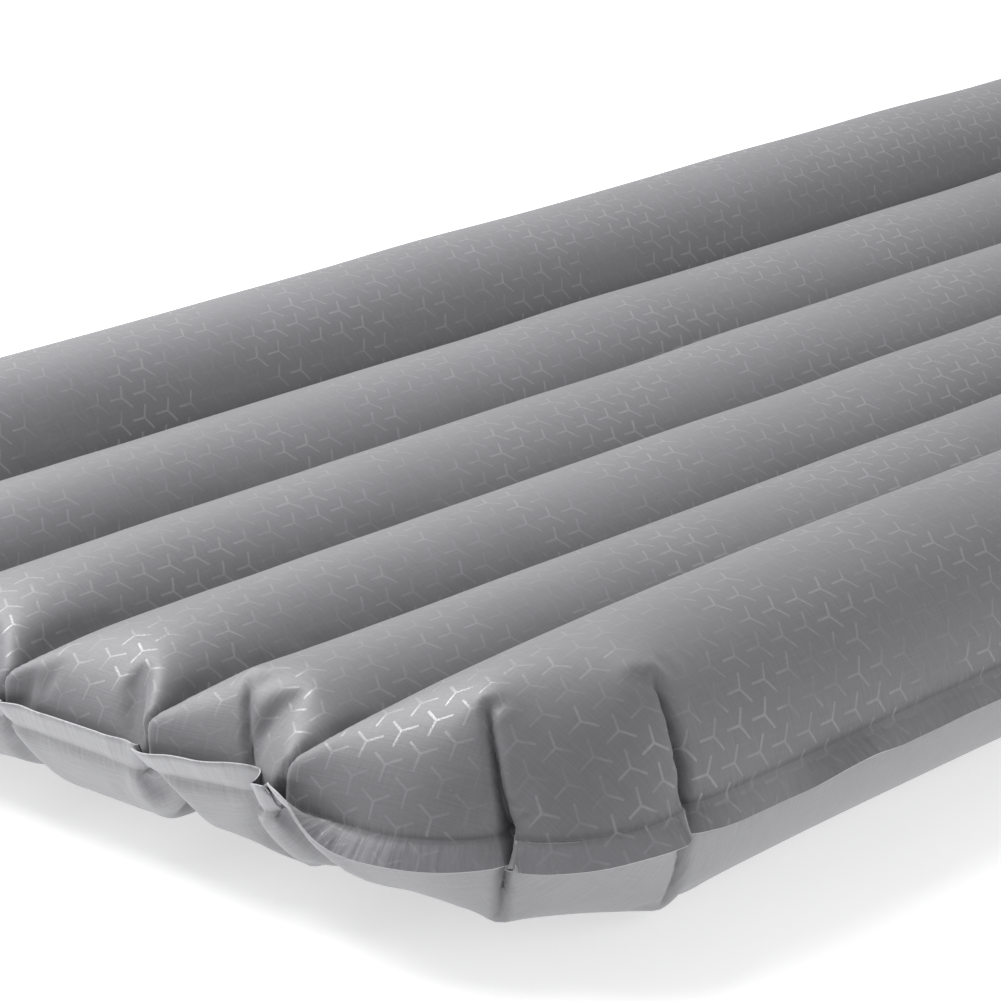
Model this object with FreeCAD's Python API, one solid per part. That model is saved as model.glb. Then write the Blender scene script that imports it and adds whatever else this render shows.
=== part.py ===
import FreeCAD, Part
import math
import os

# Inflatable sleeping pad: two fabric sheets welded together round the edge and
# tied to each other by five baffle strips, which divide it into six long tubes.
# The two outer tubes are full round bolsters, and the four inner tubes are flatter.
# Two plugged valves sit in the top sheet at the head end.
#
# Frame: +X towards the head end, +Y across the pad, +Z up. The origin is on the
# ground, under the middle of the pad. Millimetres.

# ---------------------------------------------------------------- dimensions
pad_length = 1830.0          # over the weld flanges
flange_width = 8.0           # welded edge outside the inflated part
sheet_thickness = 1.6        # solid stand-in for the coated fabric
tube_pitch = 80.0            # between neighbouring baffles
tube_radius = 50.0           # every inflated wall curves at this radius
baffle_height = 25.0         # over both sheets, at a groove
bolster_rise = 5.0           # the outer baffles sit this much above the inner ones
ground_flattening = 1.5      # how far the bolsters are pressed flat by the ground
inner_taper = 60.0           # length of the rounded end of an inner tube
bolster_taper = 75.0         # length of the rounded end of a bolster
baffle_end_gap = 40.0        # from a baffle's end to the end seam, where air passes
passage_width = 6.0          # gap in the walls that a baffle stands in

valve_x = 780.0              # both valves are this far from the middle
neck_outer_radius = 18.0
neck_bore_radius = 15.0
neck_depth = 10.0            # below the crown of the tube
neck_rise = 4.0              # above the crown of the tube
patch_radius = 30.0
patch_thickness = 1.2
grille_thickness = 2.0
grille_rib = 2.4
flap_radius = 16.0
flap_thickness = 0.8
clip_width = 8.0             # of the clip that holds the flap's edge
clip_depth = 1.6
gasket_thickness = 0.8
cap_radius = 20.0
cap_thickness = 2.0
cap_gap = 0.2                # between the gasket and the closed cap
plug_root_radius = 14.4
plug_tip_radius = 13.5
plug_length = 7.5
plug_wall = 1.6
lid_chamfer = 0.6
tab_inset = 0.3              # the tabs are this much thinner than the lid
collar_radius = 21.0
collar_thickness = 1.3
hinge_reach = 23.0           # from the valve's axis to the cap's hinge line
hinge_width = 10.0
hinge_barrel_radius = 1.0
pull_tab_length = 9.0
pull_tab_width = 13.0
pull_tab_corner = 4.0
play = 0.3                   # clearance between pieces that move past each other

# ---------------------------------------------------------------- worked out
half_groove = baffle_height / 2
seam_z = tube_radius - ground_flattening
inner_z = seam_z - bolster_rise
bolster_y = 2 * tube_pitch + math.sqrt(tube_radius**2 - half_groove**2)
end_x = pad_length / 2 - flange_width
crown_rise = tube_radius - math.sqrt(tube_radius**2 - (tube_pitch / 2) ** 2)
crown_z = inner_z + half_groove + crown_rise
inner_low_z = inner_z - half_groove - crown_rise
collar_low_z = crown_z + patch_thickness + play
hinge_z = collar_low_z + collar_thickness + play + hinge_barrel_radius
baffle_lines = [
    (2 * tube_pitch, seam_z),
    (tube_pitch, inner_z),
    (0.0, inner_z),
    (-tube_pitch, inner_z),
    (-2 * tube_pitch, seam_z),
]

ALONG = FreeCAD.Vector(1, 0, 0)
ACROSS = FreeCAD.Vector(0, 1, 0)
UP = FreeCAD.Vector(0, 0, 1)


def point(x, y, z):
    return FreeCAD.Vector(x, y, z)


def box(x0, x1, y0, y1, z0, z1):
    return Part.makeBox(x1 - x0, y1 - y0, z1 - z0, point(x0, y0, z0))


def disc(radius, x, y, z0, z1):
    return Part.makeCylinder(radius, z1 - z0, point(x, y, z0), UP)


def ring(outer, inner, x, y, z0, z1):
    return disc(outer, x, y, z0, z1).cut(disc(inner, x, y, z0 - 1, z1 + 1))


def face_of(edges):
    return Part.Face(Part.Wire(Part.__sortEdges__(edges)))


def line(a, b):
    return Part.makeLine(a, b)


def quarter_ellipse(centre, major_end, minor_end):
    """A quarter of an ellipse from the end of one half-axis to the end of the other."""
    ellipse = Part.Ellipse(major_end, minor_end, centre)
    return Part.Arc(ellipse, 0, math.pi / 2).toShape()


def merged(shapes):
    solid = shapes[0].fuse(shapes[1:]) if len(shapes) > 1 else shapes[0]
    return solid.removeSplitter()


# ---------------------------------------------------------------- inflated form
def wall_arc(y0, z0, y1, z1, side, inset):
    """The wall from one groove to the next: an arc that bulges up (side 1) or down (-1)."""
    start = point(0, y0, z0 + side * half_groove)
    end = point(0, y1, z1 + side * half_groove)
    chord = end - start
    normal = point(0, -chord.z, chord.y).normalize() * side
    centre = (start + end) * 0.5 - normal * math.sqrt(tube_radius**2 - (chord.Length / 2) ** 2)
    radius = tube_radius - inset

    def on_wall(y):
        return point(0, y, centre.z + side * math.sqrt(radius**2 - (y - centre.y) ** 2))

    return on_wall(y0), centre + normal * radius, on_wall(y1)


def inner_tube_section(left, right, inset):
    """The outline of an inner tube between two baffle lines."""
    top = wall_arc(*left, *right, 1, inset)
    low = wall_arc(*left, *right, -1, inset)
    return face_of([
        Part.Arc(*top).toShape(),
        line(top[2], low[2]),
        Part.Arc(*low).toShape(),
        line(low[0], top[0]),
    ])


def side_profile(y, taper, rise, drop):
    """The pad seen from the side at y: straight, with a rounded end each way from the seam."""
    x = end_x - taper
    edges = []
    for end in (-1, 1):
        centre = point(end * x, y, seam_z)
        tip = point(end * (x + taper), y, seam_z)
        edges.append(quarter_ellipse(centre, tip, centre + UP * rise))
        edges.append(quarter_ellipse(centre, tip, centre - UP * drop))
    edges.append(line(point(-x, y, seam_z + rise), point(x, y, seam_z + rise)))
    edges.append(line(point(-x, y, seam_z - drop), point(x, y, seam_z - drop)))
    return face_of(edges)


def full_length(section):
    moved = section.copy()
    moved.translate(ALONG * -end_x)
    return moved.extrude(ALONG * (2 * end_x))


def inner_tubes(inset):
    """The four inner tubes as one solid, inset from the outside by the sheet's thickness."""
    tubes = [
        full_length(inner_tube_section(right, left, inset))
        for left, right in zip(baffle_lines, baffle_lines[1:])
    ]
    top = seam_z + crown_rise + half_groove - inset
    low = inner_low_z + inset
    taper = inner_taper - inset
    profile = side_profile(-2 * tube_pitch, taper, top - seam_z, seam_z - low)
    rounded = profile.extrude(ACROSS * (4 * tube_pitch))
    return merged(tubes).common(rounded)


def bolster(side, inset):
    """An outer tube: a round outer half with domed ends, and an inner half up to its baffle."""
    radius = tube_radius - inset
    taper = bolster_taper - inset
    x = end_x - bolster_taper
    axis = point(0, side * bolster_y, seam_z)
    tips = [axis + ALONG * (end * (x + taper)) for end in (-1, 1)]
    shoulders = [axis + ALONG * (end * x) for end in (-1, 1)]
    outline = [
        quarter_ellipse(shoulders[0], tips[0], shoulders[0] + UP * radius),
        line(shoulders[0] + UP * radius, shoulders[1] + UP * radius),
        quarter_ellipse(shoulders[1], tips[1], shoulders[1] + UP * radius),
        line(tips[1], tips[0]),
    ]
    outer_half = face_of(outline).revolve(axis, ALONG, -180 * side)

    reach = min(bolster_y - 2 * tube_pitch, radius - 0.01)
    lift = math.sqrt(radius**2 - reach**2)
    angle = math.radians(45)
    inner_y = side * (bolster_y - reach)
    bulge_y = side * (bolster_y - radius * math.cos(angle))
    bulge_z = radius * math.sin(angle)
    crown = axis + UP * radius
    base = axis - UP * radius
    high = point(0, inner_y, seam_z + lift)
    low = point(0, inner_y, seam_z - lift)
    section = face_of([
        Part.Arc(crown, point(0, bulge_y, seam_z + bulge_z), high).toShape(),
        line(high, low),
        Part.Arc(low, point(0, bulge_y, seam_z - bulge_z), base).toShape(),
        line(base, crown),
    ])
    side_y = min(side * 2 * tube_pitch, side * bolster_y)
    profile = side_profile(side_y, taper, radius, radius)
    ends = profile.extrude(ACROSS * (bolster_y - 2 * tube_pitch))
    inner_half = full_length(section).common(ends)
    return merged([outer_half, inner_half])


def inflated(inset):
    """The whole inflated form, inset evenly, and flat where it rests on the ground."""
    solids = [inner_tubes(inset), bolster(1, inset), bolster(-1, inset)]
    if inset:
        reach = end_x - 2 * flange_width
        half = half_groove - 2 * inset
        for y, z in (baffle_lines[0], baffle_lines[-1]):
            y0 = y - passage_width / 2
            solids.append(box(-reach, reach, y0, y0 + passage_width, z - half, z + half))
    form = merged(solids)
    margin = 10.0
    ground = box(-pad_length, pad_length, -pad_length, pad_length, -margin, inset)
    return form.cut(ground)


def plan_outline(grow):
    """The pad seen from above at the seam, grown outwards, as a face in the seam's plane."""
    x = end_x - bolster_taper
    y = bolster_y
    major = bolster_taper + grow
    minor = tube_radius + grow
    edges = []
    for end in (-1, 1):
        for side in (-1, 1):
            centre = point(end * x, side * y, seam_z)
            tip = centre + ALONG * (end * major)
            edges.append(quarter_ellipse(centre, tip, centre + ACROSS * (side * minor)))
        edges.append(line(point(end * (x + major), -y, seam_z), point(end * (x + major), y, seam_z)))
    for side in (-1, 1):
        edge_y = side * (y + minor)
        edges.append(line(point(-x, edge_y, seam_z), point(x, edge_y, seam_z)))
    return face_of(edges)


def flange(direction):
    """One sheet's half of the welded edge, on the upper (1) or lower (-1) side of the seam."""
    lift = UP * (direction * sheet_thickness)
    outer = plan_outline(flange_width).extrude(lift)
    return outer.cut(plan_outline(-sheet_thickness / 2).extrude(lift))


valve_places = {"inflate": -tube_pitch / 2, "deflate": tube_pitch / 2}


def make_sheets():
    """The top and bottom sheets, each a formed skin with its half of the welded flange."""
    skin = inflated(0.0).cut(inflated(sheet_thickness))
    size = pad_length
    above = box(-size, size, -size, size, seam_z, size)
    below = box(-size, size, -size, size, -size, seam_z)
    top = merged([skin.common(above), flange(1)])
    bottom = merged([skin.common(below), flange(-1)])
    for y in valve_places.values():
        top = top.cut(disc(neck_outer_radius, valve_x, y, seam_z, crown_z + 10))
    return {"top_sheet": top, "bottom_sheet": bottom}


def make_baffles():
    """Five strips that tie the sheets together, with air gaps at both ends."""
    cavity = inflated(sheet_thickness)
    reach = end_x - baffle_end_gap
    half = sheet_thickness / 2
    strips = {}
    for number, (y, z) in enumerate(baffle_lines, 1):
        strip = box(-reach, reach, y - half, y + half, z - half_groove, z + half_groove)
        strips[f"baffle_{number}"] = strip.common(cavity)
    return strips


# ---------------------------------------------------------------- valves
def make_valve(name, y, one_way):
    """A plug valve in the crown of a tube. A one-way valve also has a grille and a flap."""
    x = valve_x
    rim_z = crown_z + neck_rise
    foot_z = crown_z - neck_depth
    pieces = {}

    start = point(x - 2 * patch_radius, y, crown_z - tube_radius)
    wall = Part.makeCylinder(tube_radius, 4 * patch_radius, start, ALONG)
    raised = Part.makeCylinder(tube_radius + patch_thickness, 4 * patch_radius, start, ALONG)
    round_patch = ring(patch_radius, neck_outer_radius, x, y, inner_z, rim_z)
    pieces["patch"] = round_patch.common(raised.cut(wall))

    pieces["housing"] = ring(neck_outer_radius, neck_bore_radius, x, y, foot_z, rim_z)
    if one_way:
        pieces["grille"] = make_grille(x, y, foot_z)
        pieces["flap"] = make_flap(x, y, foot_z)
        pieces["flap_clip"] = make_flap_clip(x, y, foot_z)

    pieces["gasket"] = ring(
        neck_outer_radius - 0.5, neck_bore_radius + 0.5, x, y, rim_z, rim_z + gasket_thickness
    )
    pieces["collar"] = make_collar(x, y)
    pieces["cap"] = make_cap(x, y, rim_z + gasket_thickness + cap_gap)
    return {f"{name}_{piece}": shape for piece, shape in pieces.items()}


def make_grille(x, y, foot_z):
    """A spider of three bars, with a hub, that the flap closes against."""
    top_z = foot_z + grille_thickness
    bars = [ring(neck_bore_radius, neck_bore_radius - grille_rib, x, y, foot_z, top_z)]
    bars.append(disc(3.0, x, y, foot_z, top_z))
    for turn in (0, 60, 120):
        bar = box(x - neck_bore_radius + 1, x + neck_bore_radius - 1, y - 1, y + 1, foot_z, top_z)
        bar.rotate(point(x, y, 0), UP, turn)
        bars.append(bar)
    return merged(bars)


def make_flap(x, y, foot_z):
    """The soft check flap, which closes the grille from below and bends at its clipped edge."""
    half = clip_width / 2
    top_z = foot_z - play
    low_z = top_z - flap_thickness
    edge = box(x - flap_radius, x - flap_radius / 2, y - half, y + half, low_z, top_z)
    return merged([disc(flap_radius, x, y, low_z, top_z), edge])


def make_flap_clip(x, y, foot_z):
    """The clip welded under the neck's rim that holds the flap's edge."""
    half = clip_width / 2
    inner_x = x - flap_radius - play
    return box(x - neck_outer_radius, inner_x, y - half, y + half, foot_z - clip_depth, foot_z)


def make_collar(x, y):
    """The tether ring round the neck, with the lug that the cap folds over from."""
    top_z = collar_low_z + collar_thickness
    half = hinge_width / 2
    lug = box(x + neck_outer_radius + 1, x + hinge_reach - play, y - half, y + half, collar_low_z, top_z)
    return merged([ring(collar_radius, neck_outer_radius, x, y, collar_low_z, top_z), lug])


def make_cap(x, y, under_z):
    """The plug cap: a lid with a hollow plug, a pull tab and a hinge tab that ends in a barrel."""
    top_z = under_z + cap_thickness
    lid = disc(cap_radius, x, y, under_z, top_z)
    rim_edges = [edge for edge in lid.Edges if edge.BoundBox.ZMin > top_z - lid_chamfer]
    lid = lid.makeChamfer(lid_chamfer, rim_edges)
    pull = make_pull_tab(x, y, under_z + tab_inset, top_z - tab_inset)

    tip = point(x, y, under_z - plug_length)
    plug = Part.makeCone(plug_tip_radius, plug_root_radius, plug_length, tip, UP)
    hollow = Part.makeCone(plug_tip_radius - plug_wall, plug_root_radius - plug_wall, plug_length, tip, UP)

    half = hinge_width / 2
    hinge_x = x + hinge_reach
    tab = box(x + cap_radius - 2, hinge_x, y - half, y + half, under_z, top_z - tab_inset)
    leg_x = hinge_x - hinge_barrel_radius
    leg = box(leg_x, hinge_x, y - half, y + half, hinge_z, under_z)
    barrel_start = point(hinge_x, y - half, hinge_z)
    barrel = Part.makeCylinder(hinge_barrel_radius, hinge_width, barrel_start, ACROSS)
    return merged([lid, plug.cut(hollow), pull, tab, leg, barrel])


def make_pull_tab(x, y, low_z, top_z):
    """The finger tab opposite the hinge, with round outer corners."""
    tip_x = x - cap_radius - pull_tab_length
    half = pull_tab_width / 2
    tab = box(tip_x, x - cap_radius + 2, y - half, y + half, low_z, top_z)
    corners = [
        edge for edge in tab.Edges if edge.BoundBox.XMax < tip_x + 1 and edge.BoundBox.ZLength > tab_inset
    ]
    return tab.makeFillet(pull_tab_corner, corners)


# ---------------------------------------------------------------- output
def main():
    parts = {}
    parts.update(make_sheets())
    parts.update(make_baffles())
    for name, y in valve_places.items():
        parts.update(make_valve(name, y, one_way=name == "inflate"))

    os.makedirs("parts", exist_ok=True)
    for name, shape in parts.items():
        shape.exportStep(f"parts/{name}.step")
        print(f"{name}: {len(shape.Solids)} solid, valid {shape.isValid()}, {shape.Volume / 1000:.1f} cm3")
    print(f"hinge line: x {valve_x + hinge_reach:.2f}, z {hinge_z:.2f}; crown z {crown_z:.2f}")
    print(f"bolster line: y {bolster_y:.2f}; seam z {seam_z:.2f}; inner tubes from z {inner_low_z:.2f}")


main()
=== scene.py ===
"""An inflatable sleeping pad: two fabric sheets, blown up as cloth at both ends, and its valves."""
import math

import bpy
import numpy as np
from mathutils import Matrix, Vector


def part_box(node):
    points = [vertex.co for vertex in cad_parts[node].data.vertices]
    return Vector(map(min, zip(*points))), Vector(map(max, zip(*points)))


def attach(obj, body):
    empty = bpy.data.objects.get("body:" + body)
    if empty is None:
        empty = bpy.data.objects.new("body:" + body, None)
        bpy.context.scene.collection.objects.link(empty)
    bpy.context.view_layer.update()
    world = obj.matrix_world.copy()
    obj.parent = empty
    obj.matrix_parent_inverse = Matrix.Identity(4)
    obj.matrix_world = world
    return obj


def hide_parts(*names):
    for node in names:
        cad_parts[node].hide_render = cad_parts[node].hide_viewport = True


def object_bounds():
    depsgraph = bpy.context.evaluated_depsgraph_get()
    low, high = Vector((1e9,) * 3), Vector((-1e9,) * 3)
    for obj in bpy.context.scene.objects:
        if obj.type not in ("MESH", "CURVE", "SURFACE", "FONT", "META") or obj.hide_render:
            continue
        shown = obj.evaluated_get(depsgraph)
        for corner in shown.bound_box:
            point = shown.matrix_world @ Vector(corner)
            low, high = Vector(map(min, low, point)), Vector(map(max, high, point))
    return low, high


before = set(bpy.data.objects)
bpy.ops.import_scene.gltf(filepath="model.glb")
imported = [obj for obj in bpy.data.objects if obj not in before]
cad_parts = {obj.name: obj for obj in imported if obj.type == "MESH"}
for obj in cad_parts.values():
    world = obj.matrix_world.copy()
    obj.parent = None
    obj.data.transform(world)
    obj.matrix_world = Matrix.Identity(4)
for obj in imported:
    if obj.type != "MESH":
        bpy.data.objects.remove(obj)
cad_low, cad_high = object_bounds()

# ---------------------------------------------------------------- the CAD pad's sizes, metres
MM = 0.001
BAFFLES = sorted((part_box(f"baffle_{n}") for n in range(1, 6)), key=lambda b: b[0].y)
BAFFLE_Y = [(low.y + high.y) / 2 for low, high in BAFFLES]
BAFFLE_END = BAFFLES[0][1].x  # where the baffles stop
SEAM_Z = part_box("bottom_sheet")[1].z
INNER_DROP = 5 * MM           # the three inner grooves' middles lie this far below the seam
BAFFLE_Z = [SEAM_Z] + [SEAM_Z - INNER_DROP] * 3 + [SEAM_Z]
TUBE_RADIUS = cad_high.z - SEAM_Z
GROOVE = 12.5 * MM            # half the height of the pad at a groove
FLANGE = 8 * MM               # width of the CAD's welded margin
SEAM_X = cad_high.x - FLANGE  # of the seam, at the pad's head end
BOLSTER_Y = BAFFLE_Y[-1] + math.sqrt(TUBE_RADIUS**2 - GROOVE**2)
VALVES = [(low + high) / 2 for low, high in (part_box("inflate_housing"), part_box("deflate_housing"))]

# ---------------------------------------------------------------- the cloth's sizes, metres
END_LENGTH = 290 * MM         # of each end that is simulated
SEAM_PULL = 12 * MM           # how much each end draws in when the pad is blown up
HALF_LENGTH = SEAM_X + SEAM_PULL  # of the flat cut, to the seam
FLAT_CORNER = 110 * MM        # radius of the flat cut's corners
CORNER_SPLIT = 45             # degrees round a corner where the mesh's own corner is
INNER_CELLS = 22              # mesh cells across one inner tube
BOLSTER_CELLS = 34            # and across one bolster, from its groove to the seam
MIDDLE_CELL = 20 * MM         # length of a cell between the ends
FLOOR_GAP = 0.4 * MM          # the sheets stay this far above the floor
BLEND_LENGTH = 150 * MM       # over which an end passes into the straight tubes
MIDDLE_WAVES = ((310 * MM, 0.35 * MM), (170 * MM, 0.25 * MM), (120 * MM, 0.15 * MM))  # length, height
MIDDLE_SLANT = 3              # most waves to a metre across
NECK_HOLE = 16.5 * MM         # radius of the upper sheet's openings
PATCH_REACH = 62 * MM         # how far round a valve the cloth is laid smooth
PATCH_BLEND = 26 * MM         # and over which it passes into the rest

# how far each groove's weld goes on past the baffles' ends, in mm, on the upper and the lower sheet
WELD_END = {1: (-8, 5, 20, 5, -8), -1: (-36, -32, -40, -32, -36)}
# each corner's folds: degrees round the corner, then lean (across, inwards), width and depth in mm
CORNER_PLEATS = ((31.5, (-30, 38), 18, 8), (78, (-46, 13), 19, 9))

FOLD_OUTSIDE = 20 * MM        # a pleat goes on this far outside the seam
TUBE_PLEAT = 13 * MM          # width of the fold in a tube's end
TUBE_PLEAT_DEPTH = 3 * MM
GROOVE_PLEAT = 12 * MM        # width of the fold at a groove's end
GROOVE_PLEAT_DEPTH = 2.5 * MM
GROOVE_PLEAT_LENGTH = 42 * MM

MARGIN = 10.5 * MM            # width of the cloth's welded margin
MARGIN_ROWS = 4
MARGIN_THICKNESS = 0.7 * MM
MARGIN_UP, MARGIN_DOWN = 82, -50   # degrees, along the ends and along the sides
MARGIN_WAVES = ((93 * MM, 9), (61 * MM, 6), (171 * MM, 7), (27 * MM, 2))  # length, degrees
MARGIN_END = 20 * MM          # it stands up where the seam is this near the pad's end
MARGIN_TURN_END = 34 * MM     # and is down again this far outside the last groove
MARGIN_TURN = 44 * MM         # after turning down over this length
LIP_CLEARANCE = math.radians(24)   # between the standing margin and the upper sheet
SEAM_RECESS = 0.5 * MM        # the weld line lies in a fine furrow

# ---------------------------------------------------------------- the simulation
BLOW_STEPS = 600
FOOT_SEED, HEAD_SEED, MIDDLE_SEED, MARGIN_SEED = 3, 11, 9, 5
AIR_STEPS = 4                 # steps from one working out of the air's push to the next
AIR_PUSH = 3e-6               # added to each step's move, for a point with one cell's area round it
DRAG = 0.985                  # share of the speed kept in a step
FASTEST = 0.5 * MM            # move in a step
START_TAPER = 70 * MM         # length over which the first shape rises from the seam at the end
START_NOISE = 0.3 * MM
SHORTEST = 0.15 * MM          # rest length, however much a pleat takes in
LINK_FIRMNESS = ((1.0, 0.6), (0.5, 0.15), (0.0, 0.06))  # near, diagonal, skip; when stretched, pressed
SEAM_FIRMNESS = ((1, (1.0, 1.0)), (2, (0.5, 0.5)), (3, (0.3, 0.5)), (5, (0.2, 0.3)))  # points on, same


# ---------------------------------------------------------------- the pad's section
def arc_points(centre, start, turn, cells):
    """Evenly spaced points of an arc about centre, from start through an angle."""
    angles = np.linspace(0, turn, cells + 1)
    arm = np.array(start) - centre
    c, s = np.cos(angles), np.sin(angles)
    return np.stack([centre[0] + arm[0] * c - arm[1] * s, centre[1] + arm[0] * s + arm[1] * c], 1)


def inner_wall(left, right, side):
    """An inner tube's wall from groove to groove, above (side 1) or below (-1)."""
    start = np.array([left[0], left[1] + side * GROOVE])
    end = np.array([right[0], right[1] + side * GROOVE])
    chord = end - start
    length = np.linalg.norm(chord)
    normal = np.array([-chord[1], chord[0]]) / length * side
    centre = (start + end) / 2 - normal * math.sqrt(TUBE_RADIUS**2 - length**2 / 4)
    return arc_points(centre, start, -side * 2 * math.asin(length / 2 / TUBE_RADIUS), INNER_CELLS)


def bolster_wall(side):
    """The outer bolster's wall from its groove round to the seam."""
    centre = np.array([BOLSTER_Y, SEAM_Z])
    start = np.array([BAFFLE_Y[-1], SEAM_Z + side * GROOVE])
    return arc_points(centre, start, -side * (math.pi - math.asin(GROOVE / TUBE_RADIUS)), BOLSTER_CELLS)


def section(side):
    """The pad's section: points (y, z) of one sheet from seam to seam."""
    lines = list(zip(BAFFLE_Y, BAFFLE_Z))
    walls = [inner_wall(a, b, side)[1:] for a, b in zip(lines, lines[1:])]
    outer = bolster_wall(side)
    return np.concatenate([outer[::-1] * [-1, 1]] + walls + [outer[1:]])


TOP = section(1)
BOTTOM = section(-1)
ACROSS = np.concatenate([[0], np.cumsum(np.linalg.norm(np.diff(TOP, axis=0), axis=1))])
ACROSS -= ACROSS[-1] / 2
EDGE = ACROSS[-1]             # half the width of the flat cut, to the seam
COLUMNS = len(ACROSS)
CELL = ACROSS[-1] - ACROSS[-2]
ROWS = round(END_LENGTH / CELL) + 1
GROOVES = [BOLSTER_CELLS + k * INNER_CELLS for k in range(5)]
LAST_GROOVE = ACROSS[GROOVES[-1]]
VALLEY = 1.45 * CELL / 2      # how far beyond a fold its valley reaches


# ---------------------------------------------------------------- the flat cut of an end
def along_path(points, shares):
    """Points at the given shares of a path's length."""
    steps = np.concatenate([[0], np.cumsum(np.linalg.norm(np.diff(points, axis=0), axis=1))])
    return np.stack([np.interp(shares * steps[-1], steps, points[:, k]) for k in range(2)], 1)


def corner_point(angle):
    """A point of the flat cut's rounded corner at u > 0; 0 degrees is the end and 90 the side."""
    a = np.radians(angle)
    return np.stack([EDGE - FLAT_CORNER * (1 - np.sin(a)), FLAT_CORNER * (1 - np.cos(a))], -1)


class Pleat:
    """A fold in the cloth, in the flat cut's (u, v): it runs from its base, on the seam, by its lean."""

    def __init__(self, base, lean, width, depth, sheets=(1, -1)):
        self.base = np.array(base)
        self.length = np.linalg.norm(lean)
        self.inward = np.array(lean) / self.length
        self.sideways = np.array([-self.inward[1], self.inward[0]])
        self.width = width
        self.sheets = sheets
        self.depth = depth

    def measure(self, points):
        """For points of the cut: distance along the pleat and to one side, and half the width taken in."""
        along = (points - self.base) @ self.inward
        half = np.clip(1 - along / self.length, 0, 1) * self.width / 2
        return along, (points - self.base) @ self.sideways, half


def corner_pleats(side):
    """The two folds of the corner at u > 0 (side 1) or u < 0 (side -1)."""
    flip = [side, 1]
    return [Pleat(corner_point(angle) * flip, np.array(lean) * MM * flip, width * MM, depth * MM)
            for angle, lean, width, depth in CORNER_PLEATS]


def flat_cut():
    """The flat cut of an end: (u across, v from the end) for each grid point."""
    v = np.arange(ROWS) * CELL
    flat = np.stack(np.broadcast_arrays(ACROSS[None, :], v[:, None]), -1).copy()
    n = BOLSTER_CELLS
    reach = v[n]
    low = np.concatenate([[[LAST_GROOVE, 0]], corner_point(np.linspace(0, CORNER_SPLIT, 60))])
    right = np.concatenate([corner_point(np.linspace(CORNER_SPLIT, 90, 20)), [[EDGE, reach]]])
    share = np.arange(n + 1) / n
    low, right = along_path(low, share), along_path(right, share)
    left = np.stack([np.full(n + 1, LAST_GROOVE), share * reach], 1)
    high = np.stack([LAST_GROOVE + share * (EDGE - LAST_GROOVE), np.full(n + 1, reach)], 1)
    a, b = share[None, :, None], share[:, None, None]     # across and down the corner's patch
    patch = (1 - b) * low[None] + b * high[None] + (1 - a) * left[:, None] + a * right[:, None]
    patch -= (1 - a) * (1 - b) * low[0] + a * (1 - b) * low[-1] + (1 - a) * b * high[0] + a * b * high[-1]
    flat[:n + 1, -n - 1:] = patch
    flat[:n + 1, :n + 1] = patch[:, ::-1] * [-1, 1]
    return flat


# ---------------------------------------------------------------- cloth
def links(grid):
    """Neighbour, diagonal and skip links of a grid of points."""
    near = [(grid[:-1], grid[1:]), (grid[:, :-1], grid[:, 1:])]
    cross = [(grid[:-1, :-1], grid[1:, 1:]), (grid[:-1, 1:], grid[1:, :-1])]
    skip = [(grid[:-2], grid[2:]), (grid[:, :-2], grid[:, 2:])]
    kinds = (near, cross, skip)
    return [np.concatenate([np.stack([a.ravel(), b.ravel()], 1) for a, b in kind]) for kind in kinds]


def coloured(pairs, count):
    """Splits links into groups in which no point appears twice."""
    used = [0] * count
    colours = np.empty(len(pairs), int)
    for k, (i, j) in enumerate(pairs.tolist()):
        taken = used[i] | used[j]
        free = ~taken & (taken + 1)
        used[i] |= free
        used[j] |= free
        colours[k] = free.bit_length() - 1
    return [np.flatnonzero(colours == c) for c in range(colours.max() + 1)]


def rest_lengths(flat, pairs, pleats):
    """The links' lengths in the flat cut, less the cloth that the pleats take in."""
    p, q = flat[pairs[:, 0]], flat[pairs[:, 1]]
    step = q - p
    for pleat in pleats:
        depth, _, half = pleat.measure((p + q) / 2)
        near = (depth > -FOLD_OUTSIDE) & (depth < pleat.length)
        kept = []
        for end in (p, q):
            _, beside, _ = pleat.measure(end)
            kept.append(-np.sign(beside) * np.minimum(np.abs(beside), half))
        step = step + np.where(near, kept[1] - kept[0], 0)[:, None] * pleat.sideways
    return np.maximum(np.linalg.norm(step, axis=1), SHORTEST)


def first_shape(flat, side, seed):
    """Where the cloth of one sheet starts: the section's shape, rounded off towards the end."""
    u, v = flat[..., 0], flat[..., 1]
    drop = np.clip(FLAT_CORNER - v, 0, FLAT_CORNER)
    half_width = EDGE - FLAT_CORNER + np.sqrt(FLAT_CORNER**2 - drop**2)
    share = np.clip((np.abs(u) - LAST_GROOVE) / (half_width - LAST_GROOVE), 0, 1)
    on_section = np.where(np.abs(u) > LAST_GROOVE, LAST_GROOVE + share * (EDGE - LAST_GROOVE), np.abs(u))
    sheet = TOP if side > 0 else BOTTOM
    y = np.interp(on_section * np.sign(u), ACROSS, sheet[:, 0])
    z = np.interp(on_section * np.sign(u), ACROSS, sheet[:, 1])
    taper = np.sqrt(1 - np.clip(1 - v / START_TAPER, 0, 1)**2)
    narrow = np.sqrt(1 - np.clip(1 - v / FLAT_CORNER, 0, 1)**2)
    full = BOLSTER_Y + TUBE_RADIUS - BAFFLE_Y[-1]
    outline = BOLSTER_Y + TUBE_RADIUS * narrow - BAFFLE_Y[-1]
    y = y + np.sign(y) * np.clip(np.abs(y) - BAFFLE_Y[-1], 0, None) * (outline / full - 1)
    z = SEAM_Z + (z - SEAM_Z) * taper
    uneven = np.random.default_rng(seed).normal(0, START_NOISE, z.shape)
    return np.stack([v - SEAM_X - SEAM_PULL, y, z + uneven * (v > 0)], -1)


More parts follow.
